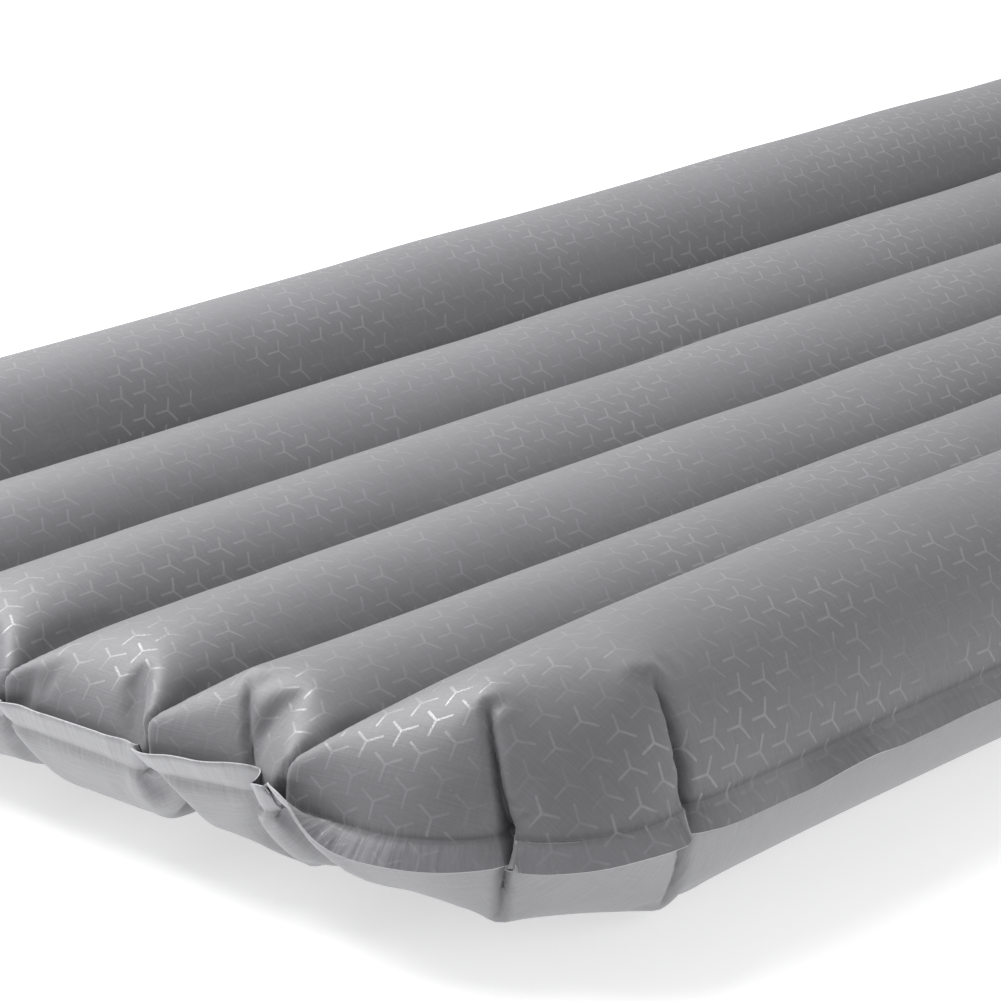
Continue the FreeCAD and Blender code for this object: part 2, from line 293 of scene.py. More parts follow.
def point_numbers():
    """Each grid point's number on the two sheets, which share the seam's points, and which are inside."""
    top_index = np.arange(ROWS * COLUMNS).reshape(ROWS, COLUMNS)
    inner = np.ones((ROWS, COLUMNS), bool)
    inner[0, :] = inner[:, 0] = inner[:, -1] = False
    bottom_index = top_index.copy()
    bottom_index[inner] = top_index.size + np.arange(inner.sum())
    return top_index, bottom_index, inner


def sheet_links(top_index, bottom_index, cut, pleats):
    """The links within both sheets: lists of pairs, firmness and rest lengths."""
    pairs, give, rest = [], [], []
    for side, grid in ((1, top_index), (-1, bottom_index)):
        folded = [p for p in pleats if side in p.sheets]
        for kind, firm in zip(links(grid), LINK_FIRMNESS):
            pairs.append(kind)
            give.append(np.broadcast_to(firm, (len(kind), 2)))
            rest.append(rest_lengths(cut, kind, folded))
    return pairs, give, rest


def seam_links(top_index, cut, pleats):
    """The links along the seam, a firm strip that only the pleats let bend sharply."""
    seam = np.concatenate([top_index[::-1, 0], top_index[0, 1:], top_index[1:, -1]])
    pairs, give, rest = [], [], []
    for gap, firm in SEAM_FIRMNESS:
        kind = np.stack([seam[:-gap], seam[gap:]], 1)
        length = rest_lengths(cut, kind, pleats)
        whole = np.linalg.norm(cut[kind[:, 0]] - cut[kind[:, 1]], axis=1)
        straight = (length > 0.97 * whole) | (gap == 1)
        pairs.append(kind[straight])
        give.append(np.broadcast_to(firm, (straight.sum(), 2)))
        rest.append(length[straight])
    return pairs, give, rest


def all_links(top_index, bottom_index, cut, pleats):
    """Every linked pair once, with its firmness and rest length; on the seam, the seam's own are kept."""
    in_sheets = sheet_links(top_index, bottom_index, cut, pleats)
    on_seam = seam_links(top_index, cut, pleats)
    pairs, give, rest = (np.concatenate(a + b)[::-1] for a, b in zip(in_sheets, on_seam))
    key = np.sort(pairs, 1)
    _, once = np.unique(key[:, 0] * len(cut) + key[:, 1], return_index=True)
    return pairs[once], give[once], rest[once]


def looseness(top_index, bottom_index, flat, count):
    """1 for each point that can move; 0 in the last row and where the grooves are welded to the baffles."""
    loose = np.ones(count)
    for side, index in ((1, top_index), (-1, bottom_index)):
        loose[index[-1]] = 0
        for column, past in zip(GROOVES, WELD_END[side]):
            welded = flat[:, column, 1] >= HALF_LENGTH - BAFFLE_END - past * MM
            loose[index[welded, column]] = 0
    return loose


def link_groups(pairs, give, rest, loose):
    """The links that can move, in groups to be set right at once, with each end's share of the move."""
    live = (loose[pairs[:, 0]] + loose[pairs[:, 1]]) > 0
    pairs, give, rest = pairs[live], give[live], rest[live]
    groups = []
    for g in coloured(pairs, len(loose)):
        i, j = pairs[g].T
        both = loose[i] + loose[j]
        groups.append((i, j, rest[g], give[g, 0], give[g, 1], loose[i] / both, loose[j] / both))
    return groups


def quads(index):
    """The point numbers round each cell of a grid."""
    return np.stack([index[:-1, :-1], index[:-1, 1:], index[1:, 1:], index[1:, :-1]], -1).reshape(-1, 4)


def air_push(x, faces):
    """How far the air moves each point in a step, square to the faces round it."""
    area = np.cross(x[faces[:, 2]] - x[faces[:, 0]], x[faces[:, 3]] - x[faces[:, 1]]) / 2
    force = [np.bincount(faces.ravel(), np.repeat(area[:, c], 4), len(x)) / 4 for c in range(3)]
    return np.stack(force, 1) / CELL**2 * AIR_PUSH


def set_right(x, groups):
    """Moves each link's two ends towards its rest length."""
    for i, j, length, pull, shove, share_i, share_j in groups:
        d = x[j] - x[i]
        now = np.sqrt(np.einsum("ij,ij->i", d, d))
        off = now - length
        fix = (off * np.where(off > 0, pull, shove) / now)[:, None] * d
        x[i] += fix * share_i[:, None]
        x[j] -= fix * share_j[:, None]


def blow_up(pleats, seed):
    """Simulates the cloth of the end at -X; returns both sheets' points and the flat cut."""
    flat = flat_cut()
    top_index, bottom_index, inner = point_numbers()
    x = np.concatenate([first_shape(flat, 1, seed).reshape(-1, 3), first_shape(flat, -1, seed + 1)[inner]])
    cut = np.concatenate([flat.reshape(-1, 2), flat[inner]])
    loose = looseness(top_index, bottom_index, flat, len(x))
    groups = link_groups(*all_links(top_index, bottom_index, cut, pleats), loose)
    faces = np.concatenate([quads(top_index)[:, ::-1], quads(bottom_index)])
    old = x.copy()
    for step in range(BLOW_STEPS):
        if step % AIR_STEPS == 0:
            push = air_push(x, faces) * loose[:, None]
        move = np.clip((x - old) * DRAG * loose[:, None], -FASTEST, FASTEST)
        old[:] = x
        x += move + push
        set_right(x, groups)
        x[:, 2] = np.maximum(x[:, 2], FLOOR_GAP)
    return x[top_index], x[bottom_index], flat


# ---------------------------------------------------------------- from the cloth to whole sheets
def halved(grid):
    """The grid with a new point midway between each two, on a smooth curve, both ways."""
    for axis in (0, 1):
        g = np.moveaxis(grid, axis, 0)
        ends = np.concatenate([2 * g[:1] - g[1:2], g, 2 * g[-1:] - g[-2:-1]])
        between = (9 * (ends[1:-2] + ends[2:-1]) - ends[:-3] - ends[3:]) / 16
        out = np.empty((2 * len(g) - 1,) + g.shape[1:])
        out[::2] = g
        out[1::2] = between
        grid = np.moveaxis(out, 0, axis)
    return grid


def finer(line):
    """A line of points or values with a new one midway between each two."""
    return halved(np.stack([line, line]))[0]


FINE_ACROSS = finer(ACROSS)


def unit(a):
    """Vectors, made one long."""
    return a / np.maximum(np.linalg.norm(a, axis=-1), 1e-12)[..., None]


def smooth_ring(a, reach):
    """A closed path's values, averaged over their neighbours."""
    kernel = np.hanning(2 * reach + 3)[1:-1]
    padded = np.concatenate([a[-reach:], a, a[:reach]])
    kernel /= kernel.sum()
    return np.stack([np.convolve(values, kernel, "valid") for values in padded.T], 1)


def averaged(grid, reach):
    """Each point's mean over a square of its neighbours."""
    for axis in (0, 1):
        padded = np.concatenate([grid.take([0] * reach, axis), grid, grid.take([-1] * reach, axis)], axis)
        total = np.cumsum(np.insert(padded, 0, 0, axis), axis)
        size = grid.shape[axis]
        grid = total.take(range(2 * reach + 1, 2 * reach + 1 + size), axis) - total.take(range(size), axis)
    return grid / (2 * reach + 1)**2


def press_pleats(grid, flat, pleats, side):
    """Pulls one sheet in along each pleat, so that the fold is a narrow valley."""
    out = unit(np.cross(np.gradient(grid, axis=0), np.gradient(grid, axis=1)))
    out *= side * np.sign(out[-1, out.shape[1] // 2, 2])
    out = unit(averaged(out, 6))
    for pleat in pleats:
        if side in pleat.sheets:
            along, beside, half = pleat.measure(flat)
            near = np.clip(1 - (np.abs(beside) - half) / VALLEY, 0, 1)**2
            fade = np.sqrt(np.clip(1 - along / pleat.length, 0, 1)) * (along > -FOLD_OUTSIDE)
            grid -= out * (near * fade * pleat.depth)[..., None]


def plain_sheet(flat, outline):
    """Where the cloth of straight tubes lies, for each point (u, x) of the cut."""
    y, z = (np.interp(flat[..., 0], FINE_ACROSS, values) for values in finer(outline).T)
    return np.stack([flat[..., 1], y, np.maximum(z, FLOOR_GAP)], -1)


def blend_into(grid, plain, share):
    """Moves a grid towards another by a share from 0 to 1, smoothly."""
    share = np.clip(share, 0, 1)
    share = (share * share * (3 - 2 * share))[..., None]
    grid += (plain - grid) * share


def end_grids(pleats, seed):
    """The end at -X: both sheets' fine grids and their flat cut, in the pad's own (u, x)."""
    top, bottom, flat = blow_up(pleats, seed)
    top, bottom, flat = halved(top), halved(bottom), halved(flat)
    press_pleats(top, flat, pleats, 1)
    press_pleats(bottom, flat, pleats, -1)
    flat[..., 1] -= HALF_LENGTH
    inward = 1 - (flat[-1, 0, 1] - flat[..., 1]) / BLEND_LENGTH
    blend_into(top, plain_sheet(flat, TOP), inward)
    blend_into(bottom, plain_sheet(flat, BOTTOM), inward)
    bottom[0], bottom[:, 0], bottom[:, -1] = top[0], top[:, 0], top[:, -1]
    return top, bottom, flat


def turned(grid):
    """An end's grid turned half round, so that it is the other end."""
    sign = [-1, -1, 1] if grid.shape[-1] == 3 else [-1, -1]
    return (grid * sign)[::-1, ::-1]


def middle_grids(start, stop, rng):
    """The straight tubes between the ends, a touch uneven."""
    along = np.linspace(start, stop, round((stop - start) / MIDDLE_CELL) + 1)[1:-1]
    flat = np.stack(np.broadcast_arrays(FINE_ACROSS[None, :], along[:, None]), -1)
    fade = np.clip(np.minimum(along - start, stop - along) / BLEND_LENGTH, 0, 1)[:, None]
    sheets = []
    for outline in (TOP, BOTTOM):
        grid = plain_sheet(flat, outline)
        for length, size in MIDDLE_WAVES:
            slant = FINE_ACROSS[None, :] * rng.uniform(-MIDDLE_SLANT, MIDDLE_SLANT)
            phase = 2 * math.pi * (along[:, None] / length + slant)
            grid[..., 2] += size * fade * np.sin(phase + rng.uniform(0, 2 * math.pi))
        grid[..., 2] = np.maximum(grid[..., 2], FLOOR_GAP)
        sheets.append(grid)
    return sheets[0], sheets[1], flat


def rim(shape):
    """The grid indices (row, column) round the edge of a grid, as a closed path."""
    rows, columns = shape
    low = [(0, c) for c in range(columns)]
    right = [(r, columns - 1) for r in range(1, rows)]
    high = [(rows - 1, c) for c in range(columns - 2, -1, -1)]
    left = [(r, 0) for r in range(rows - 2, 0, -1)]
    return np.array(low + right + high + left).T


def margin_ways(seam, above, below, flat_seam):
    """At each seam point: the way outwards, the way up, and the angle at which the upper sheet leaves."""
    along = unit(smooth_ring(np.roll(seam, -1, 0) - np.roll(seam, 1, 0), 2))
    out = unit(np.cross(along, above - below))
    outwards = flat_seam[:, ::-1]
    straight = np.abs(outwards) > [HALF_LENGTH - FLAT_CORNER, EDGE - FLAT_CORNER]
    out *= np.sign(np.sum(out[:, :2] * outwards * straight, 1))[:, None]
    out = unit(smooth_ring(out, 6))
    rise = unit(np.cross(along, out))
    rise *= np.sign(rise[:, 2])[:, None]
    to_sheet = above - seam
    return out, rise, np.arctan2(np.sum(to_sheet * rise, 1), np.sum(to_sheet * out, 1))


def margin_tilt(seam, flat_seam, sheet_tilt, rng):
    """The margin's angle at each seam point: up along the ends, down along the sides, and wavy."""
    path = np.cumsum(np.linalg.norm(seam - np.roll(seam, 1, 0), axis=1))
    wave = sum(size * np.sin(2 * math.pi * path / length + rng.uniform(0, 2 * math.pi))
               for length, size in MARGIN_WAVES)
    from_end = HALF_LENGTH - np.abs(flat_seam[:, 1])
    up = np.clip((LAST_GROOVE + MARGIN_TURN_END - np.abs(flat_seam[:, 0])) / MARGIN_TURN, 0, 1)
    up = up * up * (3 - 2 * up) * (from_end < MARGIN_END)
    tilt = np.radians(MARGIN_DOWN + (MARGIN_UP - MARGIN_DOWN) * up + wave)
    stands = up > 0.3
    tilt = np.where(stands, np.minimum(tilt, sheet_tilt - LIP_CLEARANCE), tilt)
    return smooth_ring(tilt[:, None], 3)


def margin_rows(top, bottom, flat, rng):
    """The welded margin outside the seam: its rows' points on the upper and the lower layer."""
    rows, columns = top.shape[:2]
    i, j = rim((rows, columns))
    deep = 4                  # cells from the seam to where the sheets' directions are read
    inside = np.clip(i, deep, rows - 1 - deep), np.clip(j, deep, columns - 1 - deep)
    seam = top[i, j]
    out, rise, sheet_tilt = margin_ways(seam, top[inside], bottom[inside], flat[i, j])
    tilt = margin_tilt(seam, flat[i, j], sheet_tilt, rng)
    away = unit(smooth_ring(out * np.cos(tilt) + rise * np.sin(tilt), 2))
    face = unit(rise * np.cos(tilt) - out * np.sin(tilt))
    upper, lower = [], []
    for k in range(1, MARGIN_ROWS + 1):
        row = seam + away * MARGIN * k / MARGIN_ROWS
        lift = face * MARGIN_THICKNESS / 2 * min(1, k / 2)
        upper.append(row + lift)
        lower.append(row - lift)
    top[i, j] = bottom[i, j] = seam - out * SEAM_RECESS
    return np.array(upper), np.array(lower)


def hem_place(flat):
    """(place along the seam, distance inside it) of points of the flat cut, a rounded rectangle."""
    u, x = np.abs(flat[..., 0]), np.abs(flat[..., 1])
    over_u, over_x = u - (EDGE - FLAT_CORNER), x - (HALF_LENGTH - FLAT_CORNER)
    corner = (over_u > 0) & (over_x > 0)
    side = (EDGE - u) < (HALF_LENGTH - x)
    quarter = HALF_LENGTH - FLAT_CORNER
    turn = FLAT_CORNER * math.pi / 2
    along = np.where(side, x, quarter + turn + (EDGE - FLAT_CORNER - u))
    along = np.where(corner, quarter + FLAT_CORNER * np.arctan2(over_x, over_u), along)
    depth = np.where(side, EDGE - u, HALF_LENGTH - x)
    depth = np.where(corner, FLAT_CORNER - np.hypot(over_u, over_x), depth)
    far_off = np.where(flat[..., 0] > 0, 3, 0)     # so that the two sides' puckers differ
    return np.stack([along + far_off, depth], -1)


def new_object(name, points, faces, uv_maps):
    """A smooth mesh object from points, four-sided faces and, for each UV map, a place per point."""
    mesh = bpy.data.meshes.new(name)
    mesh.from_pydata(points.tolist(), [], faces.tolist())
    for title, values in uv_maps.items():
        layer = mesh.uv_layers.new(name=title)
        layer.data.foreach_set("uv", values[faces.ravel()].astype(np.float32).ravel())
    mesh.polygons.foreach_set("use_smooth", np.ones(len(faces), bool))
    mesh.update()
    made = bpy.data.objects.new(name, mesh)
    bpy.context.scene.collection.objects.link(made)
    return made


def cloth_object(name, grid, flat, margin, facing, hole=None):
    """A sheet's object: its grid, then its margin's rows, with a flat and a hem UV map."""
    index = np.arange(grid[..., 0].size).reshape(grid.shape[:2])
    faces = quads(index)
    if hole is not None:
        faces = faces[~hole(grid.reshape(-1, 3)[faces].mean(1))]
    i, j = rim(index.shape)
    seam_cut, seam_hem = flat[i, j], hem_place(flat)[i, j]
    outward = unit((np.roll(seam_cut, -1, 0) - np.roll(seam_cut, 1, 0))[:, ::-1] * [1, -1])
    points, cuts, hems = [grid.reshape(-1, 3)], [flat.reshape(-1, 2)], [hem_place(flat).reshape(-1, 2)]
    ring = index[i, j]
    for k, row in enumerate(margin):
        reach = MARGIN * min(k + 1, MARGIN_ROWS) / MARGIN_ROWS
        points.append(row)
        cuts.append(seam_cut + outward * reach)
        hems.append(seam_hem - [0, reach])
        before, ring = ring, index.size + k * len(row) + np.arange(len(row))
        strip = np.stack([np.roll(before, -1), before, ring, np.roll(ring, -1)], -1)
        faces = np.concatenate([faces, strip])
    if facing < 0:
        faces = faces[:, ::-1]
    used, numbers = np.unique(faces, return_inverse=True)
    points, cuts, hems = (np.concatenate(a)[used] for a in (points, cuts, hems))
    return new_object(name, points, numbers.reshape(-1, 4), {"flat": cuts, "hem": hems})


def settle_at_valves(grid, flat):
    """Lays the cloth round each valve on the tubes' own arc, where its welded patch lies."""
    plain = plain_sheet(flat, TOP)
    for valve in VALVES:
        far = np.hypot(grid[..., 0] - valve.x, grid[..., 1] - valve.y)
        blend_into(grid, plain, (PATCH_REACH - far) / PATCH_BLEND)


def beside_neck(centres):
    """True for faces that lie where a valve's neck passes through the sheet."""
    near = [np.hypot(centres[:, 0] - v.x, centres[:, 1] - v.y) < NECK_HOLE for v in VALVES]
    return near[0] | near[1]


def end_pleats(tube, lean):
    """The folds of an end: at each groove, at its corners, and one in a tube's end, at u = tube."""
    grooves = []
    for u in ACROSS[GROOVES]:
        base, groove_lean = (u * 0.94, 0), (u * 0.06, GROOVE_PLEAT_LENGTH)
        grooves.append(Pleat(base, groove_lean, GROOVE_PLEAT, GROOVE_PLEAT_DEPTH, (1,)))
    in_tube = Pleat((tube, 0), lean, TUBE_PLEAT, TUBE_PLEAT_DEPTH, (1,))
    return grooves + [in_tube] + corner_pleats(1) + corner_pleats(-1)


def make_sheets():
    """Both fabric sheets, each from its two simulated ends and the straight middle."""
    foot_pleats = end_pleats(-152 * MM, (25 * MM, 44 * MM))
    head_pleats = end_pleats(62 * MM, (-14 * MM, 38 * MM))
    foot_top, foot_bottom, foot_flat = end_grids(foot_pleats, FOOT_SEED)
    head_top, head_bottom, head_flat = (turned(g) for g in end_grids(head_pleats, HEAD_SEED))
    middle = middle_grids(foot_top[-1, 0, 0], head_top[0, 0, 0], np.random.default_rng(MIDDLE_SEED))
    top = np.concatenate([foot_top, middle[0], head_top])
    bottom = np.concatenate([foot_bottom, middle[1], head_bottom])
    flat = np.concatenate([foot_flat, middle[2], head_flat])
    settle_at_valves(top, flat)
    upper, lower = margin_rows(top, bottom, flat, np.random.default_rng(MARGIN_SEED))
    cut_edge = [(lower[-1] + upper[-1]) / 2, upper[-1]]
    top_piece = cloth_object("top_fabric", top, flat, upper, 1, beside_neck)
    bottom_piece = cloth_object("bottom_fabric", bottom, flat, [*lower, *cut_edge], -1)
    return top_piece, bottom_piece


# ---------------------------------------------------------------- materials
class Graph:
    """A material's node tree, with short calls that make and join its nodes."""

    def __init__(self, name, colour, roughness, **sockets):
        self.material = bpy.data.materials.new(name)
        self.material.use_nodes = True
        self.tree = self.material.node_tree
        self.shader = self.tree.nodes["Principled BSDF"]
        self.shader.inputs["Base Color"].default_value = (*colour, 1)
        self.shader.inputs["Roughness"].default_value = roughness
        for socket, value in sockets.items():
            self.shader.inputs[socket.replace("_", " ")].default_value = value

    def put(self, socket, value):
        """Joins a socket to another, or sets it to a number or colour."""
        if isinstance(value, bpy.types.NodeSocket):
            self.tree.links.new(value, socket)
        elif value is not None:
            socket.default_value = value

    def node(self, kind, values=None, **settings):
        """A new node, with its inputs' values by name or number, and its own settings."""
        made = self.tree.nodes.new(kind)
        for key, value in settings.items():
            setattr(made, key, value)
        for key, value in (values or {}).items():
            self.put(made.inputs[key], value)
        return made

    def math(self, operation, a, b=None):
        return self.node("ShaderNodeMath", {0: a, 1: b}, operation=operation).outputs[0]

    def product(self, *factors):
        """All the factors multiplied together."""
        result = factors[0]
        for factor in factors[1:]:
            result = self.math("MULTIPLY", result, factor)
        return result

    def length(self, a, b):
        """The length of a vector (a, b)."""
        return self.math("SQRT", self.math("ADD", self.product(a, a), self.product(b, b)))

    def ramp(self, value, low, high, to_low=0.0, to_high=1.0):
        """value from low..high mapped smoothly to to_low..to_high, held at both."""
        ends = {"From Min": low, "From Max": high, "To Min": to_low, "To Max": to_high, "Value": value}
        return self.node("ShaderNodeMapRange", ends, interpolation_type="SMOOTHSTEP").outputs[0]

    def uv(self, name):
        return self.node("ShaderNodeUVMap", uv_map=name).outputs[0]

    def place(self):
        return self.node("ShaderNodeTexCoord").outputs["Object"]

    def vector_product(self, a, b):
        """Two vectors or colours, multiplied part by part."""
        return self.node("ShaderNodeVectorMath", {0: a, 1: b}, operation="MULTIPLY").outputs[0]

    def scaled(self, vector, x, y):
        """A flat vector, with each part multiplied by its own number."""
        return self.vector_product(vector, (x, y, 1.0))

    def split(self, vector):
        return self.node("ShaderNodeSeparateXYZ", {0: vector}).outputs[:3]

    def noise(self, vector, scale, detail=2.0, roughness=0.5):
        values = {"Vector": vector, "Scale": scale, "Detail": detail, "Roughness": roughness}
        return self.node("ShaderNodeTexNoise", values).outputs[0]

    def mix(self, share, a, b):
        made = self.node("ShaderNodeMix", data_type="RGBA")
        self.put(made.inputs["Factor"], share)
        self.put(made.inputs["A"], a)
        self.put(made.inputs["B"], b)
        return made.outputs["Result"]

    def shade(self, colour, amount):
        """colour times amount."""
        joined = self.node("ShaderNodeCombineXYZ", {0: amount, 1: amount, 2: amount}).outputs[0]
        return self.vector_product(colour, joined)

    def bump(self, height, strength, distance, normal=None):
        """The normal of a surface raised by height, on top of another bump's normal if one is given."""
        values = {"Height": height, "Strength": strength, "Distance": distance, "Normal": normal}
        return self.node("ShaderNodeBump", values).outputs[0]

    def finish(self, colour, roughness, normal):
        """Joins the shader's inputs up; returns the material."""
        self.put(self.shader.inputs["Base Color"], colour)
        self.put(self.shader.inputs["Roughness"], roughness)
        self.put(self.shader.inputs["Normal"], normal)
        return self.material


PRINT_PITCH = 12.8 * MM       # of the printed tripods, which stand on a triangular lattice
PRINT_ARM = 6.0 * MM          # length of an arm
PRINT_LINE = 0.9 * MM         # width of an arm
PRINT_COLOUR = (0.42, 0.42, 0.43, 1)
DUST_COLOUR = (0.6, 0.6, 0.6, 1)
TOP_COLOUR = (0.150, 0.147, 0.158)
BOTTOM_COLOUR = (0.310, 0.310, 0.324)
THREAD_PITCH = 0.55 * MM


def wrapped(g, value, shift, period):
    """value plus shift, brought to within half a period of 0."""
    turned_on = g.math("FLOORED_MODULO", g.math("ADD", value, shift), period)
    return g.math("SUBTRACT", turned_on, period / 2)


def tripods(g, cut):
    """1 on the printed tripods: three arms from each point of the lattice, one along -X."""
    across, along, _ = g.split(cut)
    height = PRINT_PITCH * math.sqrt(3)
    nearest = []
    for shift in (0, 0.5):
        px = wrapped(g, along, shift * PRINT_PITCH, PRINT_PITCH)
        py = wrapped(g, across, shift * height, height)
        nearest.append((px, py, g.math("ADD", g.product(px, px), g.product(py, py))))
    one, other = nearest
    closer = g.math("LESS_THAN", other[2], one[2])
    px, py, far = (g.math("ADD", p, g.product(closer, g.math("SUBTRACT", q, p)))
                   for p, q in zip(one, other))
    third = 2 * math.pi / 3
    angle = wrapped(g, g.math("ARCTAN2", py, px), -third, third)
    distance = g.math("SQRT", far)
    along_arm = g.product(distance, g.math("COSINE", angle))
    beside = g.product(distance, g.math("SINE", angle))
    beyond = g.math("MAXIMUM", g.math("SUBTRACT", along_arm, PRINT_ARM), 0.0)
    return g.ramp(g.length(beyond, beside), PRINT_LINE * 0.35, PRINT_LINE * 0.65, 1.0, 0.0)


def worn_tripods(g, cut):
    """The print, strong in some patches and nearly worn off in others."""
    return g.product(tripods(g, cut), g.ramp(g.noise(cut, 24.0, 3.0, 0.6), 0.38, 0.66, 0.12, 1.0))


def threads(g, cut):
    """A plain weave's height, and its uneven yarns' shade about 1."""
    across, along, _ = g.split(cut)
    waves = [g.math("SINE", g.product(v, 2 * math.pi / THREAD_PITCH)) for v in (across, along)]
    yarns = [g.noise(g.scaled(cut, *scale), 1.0, 3.0, 0.6) for scale in ((55, 1500), (1500, 55))]
    shade = g.math("ADD", g.product(yarns[0], 0.46), g.product(yarns[1], 0.30))
    return g.product(*waves), g.math("ADD", shade, 0.62)


def dust(g, cut):
    """Fine specks, in some places only."""
    specks = g.node("ShaderNodeTexVoronoi", {"Vector": cut, "Scale": 260.0}).outputs["Distance"]
    places = g.math("GREATER_THAN", g.noise(cut, 35.0, 2.0), 0.66)
    return g.product(g.ramp(specks, 0.03, 0.07, 1.0, 0.0), places)


def weld_shade_mask(g, depth):
    """1 along the weld line, fading over the cloth on one side and the margin on the other: where painted
    shade darkens the weld's furrow.
    """
    return g.product(g.ramp(depth, 0.2 * MM, 3.5 * MM, 1.0, 0.0), g.ramp(depth, -2.2 * MM, -0.6 * MM))


def fabric(name, colour, printed):
    """Coated nylon: a fine weave, uneven yarns, puckers beside the weld, painted shade along the weld and
    just inside it, and a smooth welded margin painted lighter, partly its own tone and partly painted
    highlight.
    """
    g = Graph(name, colour, 0.5, Sheen_Weight=0.25, Sheen_Roughness=0.5)
    cut, hem = g.uv("flat"), g.uv("hem")
    _, depth, _ = g.split(hem)
    # 1 at the seam, 0 from 8 mm inside it: places the puckers and the painted shade beside the hem
    near = g.ramp(depth, 0.0, 8 * MM, 1.0, 0.0)
    pucker = g.product(g.noise(g.scaled(hem, 260, 45), 1.0, 2.0), near)
    patches = g.noise(cut, 9.0, 3.0, 0.6)
    height, shade = threads(g, cut)
    cloudy = g.ramp(patches, 0.3, 0.7, 0.97, 1.03)
    # painted shade: up to 8% darker within 8 mm inside the seam
    hem_shade = g.ramp(near, 0.0, 1.0, 1.0, 0.92)
    # painted shade: the cloth darkened along the weld's furrow, most on the printed upper sheet
    weld_shade = g.ramp(weld_shade_mask(g, depth), 0.0, 1.0, 1.0, 0.72 if printed else 0.93)
    shade = g.product(shade, cloudy, hem_shade, weld_shade)
    coat = g.shade(colour, shade)
    roughness = g.ramp(patches, 0.3, 0.7, 0.50, 0.58)
    if printed:
        marks = worn_tripods(g, cut)
        coat = g.mix(g.product(marks, 0.3), coat, PRINT_COLOUR)
        roughness = g.math("SUBTRACT", roughness, g.product(marks, 0.30))
    coat = g.mix(g.product(dust(g, cut), 0.3), coat, DUST_COLOUR)
    # the welded margin painted lighter: partly its own smoother film, partly painted highlight where it
    # faces up to the light
    margin = g.ramp(depth, -0.4 * MM, 0.4 * MM, 1.0, 0.0)
    coat = g.mix(g.product(margin, 0.4), coat, (*[c * 1.5 for c in colour], 1))
    normal = g.bump(height, 0.25, 0.06 * MM)
    normal = g.bump(shade, 0.5, 0.25 * MM, normal)
    normal = g.bump(pucker, 0.9, 1.2 * MM, normal)
    return g.finish(coat, roughness, normal)


def ring_groove(g, place, centre, radius):
    """How deep a round groove is at each place, 5 in its middle."""
    x, y, _ = g.split(place)
    far = g.length(g.math("SUBTRACT", x, centre.x), g.math("SUBTRACT", y, centre.y))
    off = g.math("ABSOLUTE", g.math("SUBTRACT", far, radius))
    return g.ramp(off, 0.5 * MM, 1.0 * MM, 5.0, 0.0)


def moulded(name, colour, roughness, grain, rings=()):
    """A moulded plastic or rubber: fine grain, faint cloudiness, lighter where edges rub, round grooves."""
    g = Graph(name, colour, roughness)
    place = g.place()
    fine = g.noise(place, grain, 3.0, 0.6)
    cloud = g.noise(place, 70.0, 2.0, 0.5)
    worn = g.ramp(g.node("ShaderNodeNewGeometry").outputs["Pointiness"], 0.52, 0.58)
    scuff = g.product(worn, g.ramp(g.noise(place, 600.0, 2.0), 0.4, 0.6))
    shade = g.math("ADD", g.ramp(cloud, 0.3, 0.7, 0.92, 1.08), g.product(scuff, 0.12))
    clouded = g.ramp(cloud, 0.3, 0.7, roughness - 0.05, roughness + 0.06)
    rough = g.math("ADD", clouded, g.product(fine, 0.05))
    height = g.product(fine, 0.45)
    for centre, radius in rings:
        height = g.math("SUBTRACT", height, ring_groove(g, place, centre, radius))
    return g.finish(g.shade(colour, shade), rough, g.bump(height, 0.35, 0.12 * MM))


def valve_rings(*radii):
    """Round grooves of these radii about both valves, as (centre, radius)."""
    return [(valve, radius) for valve in VALVES for radius in radii]


def finish_cad_parts():
    """The carried-over CAD parts' materials."""
    plastic = moulded("valve_plastic", (0.045, 0.046, 0.048), 0.45, 1400.0)
    cap = moulded("cap_plastic", (0.060, 0.061, 0.063), 0.42, 1400.0, valve_rings(7 * MM, 15.5 * MM))
    rubber = moulded("soft_seal", (0.10, 0.10, 0.105), 0.6, 900.0)
    weld = moulded("weld_film", (0.105, 0.103, 0.108), 0.36, 2200.0, valve_rings(23.5 * MM, 27 * MM))
    film = moulded("baffle_film", (0.55, 0.55, 0.56), 0.35, 300.0)
    finishes = {"housing": plastic, "grille": plastic, "collar": plastic, "cap": cap, "gasket": rubber,
                "flap": rubber, "clip": plastic, "patch": weld}
    for name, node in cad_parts.items():
        kind = name.split("_")[-1]
        material = film if name.startswith("baffle") else finishes.get(kind)
        if material:
            for slot in node.material_slots:
                slot.material = material


# ---------------------------------------------------------------- the scene round the pad
CAMERA_TURN = (-44.86, 17.94, -2.25)      # degrees: azimuth, elevation and roll
CAMERA_PLACE = (-1.707, -1.0666, 0.545)
CAMERA_LENS = 140.7                       # mm, with a sensor 36 mm wide
FLOOR_HALF = 12.0
SKY_STRENGTH = 0.5
LAMPS = (  # name, place, target, size, watts
    ("key", (-0.6, 1.9, 1.8), (-0.65, 0.15, 0), (1.8, 1.0), 46),
    ("top", (-0.9, 0.8, 1.4), (-0.75, 0.25, 0), (1.2, 0.8), 22),
    ("fill", (0.5, -2.4, 1.0), (-0.4, 0, 0), (2.0, 1.4), 12),
)


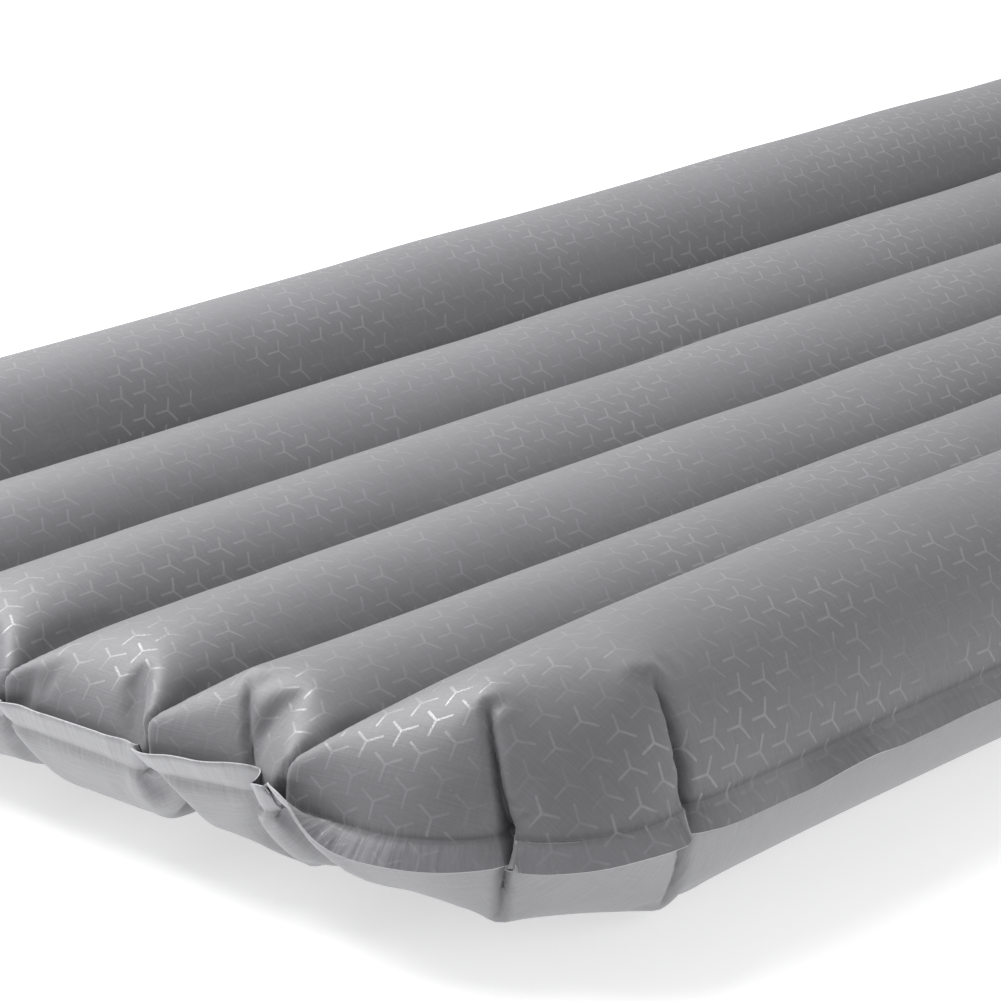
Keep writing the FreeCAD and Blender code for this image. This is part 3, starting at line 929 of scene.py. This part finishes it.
def add_camera():
    """The camera, where the photographer stood: near the foot end's corner, a long lens, a slight roll."""
    azimuth, elevation, roll = (math.radians(a) for a in CAMERA_TURN)
    level = Vector((math.cos(azimuth), math.sin(azimuth), 0))
    ahead = Vector((-math.sin(azimuth), math.cos(azimuth), 0))
    forward = ahead * math.cos(elevation) - Vector((0, 0, math.sin(elevation)))
    upright = level.cross(forward)
    right = level * math.cos(roll) + upright * math.sin(roll)
    up = upright * math.cos(roll) - level * math.sin(roll)
    data = bpy.data.cameras.new("camera")
    data.lens = CAMERA_LENS
    data.sensor_width = 36
    camera = bpy.data.objects.new("camera", data)
    turn = Matrix((right, up, -forward)).transposed().to_4x4()
    camera.matrix_world = Matrix.Translation(CAMERA_PLACE) @ turn
    bpy.context.scene.collection.objects.link(camera)
    bpy.context.scene.camera = camera


def add_lamp(name, place, target, size, watts):
    """A large soft lamp, turned to its target."""
    data = bpy.data.lights.new(name, "AREA")
    data.shape = "RECTANGLE"
    data.size, data.size_y = size
    data.energy = watts
    lamp = bpy.data.objects.new(name, data)
    lamp.location = place
    lamp.rotation_euler = (Vector(target) - Vector(place)).to_track_quat("-Z", "Y").to_euler()
    bpy.context.scene.collection.objects.link(lamp)


def add_floor():
    """A plain white floor that glows a little, so that it stays pale to its far edge."""
    mesh = bpy.data.meshes.new("floor")
    corners = [(x * FLOOR_HALF, y * FLOOR_HALF, 0) for x, y in ((-1, -1), (1, -1), (1, 1), (-1, 1))]
    mesh.from_pydata(corners, [], [(0, 1, 2, 3)])
    floor = bpy.data.objects.new("floor", mesh)
    bpy.context.scene.collection.objects.link(floor)
    g = Graph("floor", (0.75, 0.75, 0.75), 0.9, Emission_Color=(1, 1, 1, 1), Emission_Strength=0.5)
    mesh.materials.append(g.material)


def add_sky():
    """An even white light from all round."""
    world = bpy.data.worlds.new("sky")
    world.use_nodes = True
    world.node_tree.nodes["Background"].inputs["Color"].default_value = (1, 1, 1, 1)
    world.node_tree.nodes["Background"].inputs["Strength"].default_value = SKY_STRENGTH
    bpy.context.scene.world = world


# ---------------------------------------------------------------- put together
add_camera()
top_fabric, bottom_fabric = make_sheets()
top_fabric.data.materials.append(fabric("top_fabric", TOP_COLOUR, True))
bottom_fabric.data.materials.append(fabric("bottom_fabric", BOTTOM_COLOUR, False))
for piece, node in ((top_fabric, "top_sheet"), (bottom_fabric, "bottom_sheet")):
    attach(piece, "pad")
    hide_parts(node)
finish_cad_parts()
add_floor()
add_sky()
for lamp in LAMPS:
    add_lamp(*lamp)
bpy.context.scene.view_settings.view_transform = "Standard"
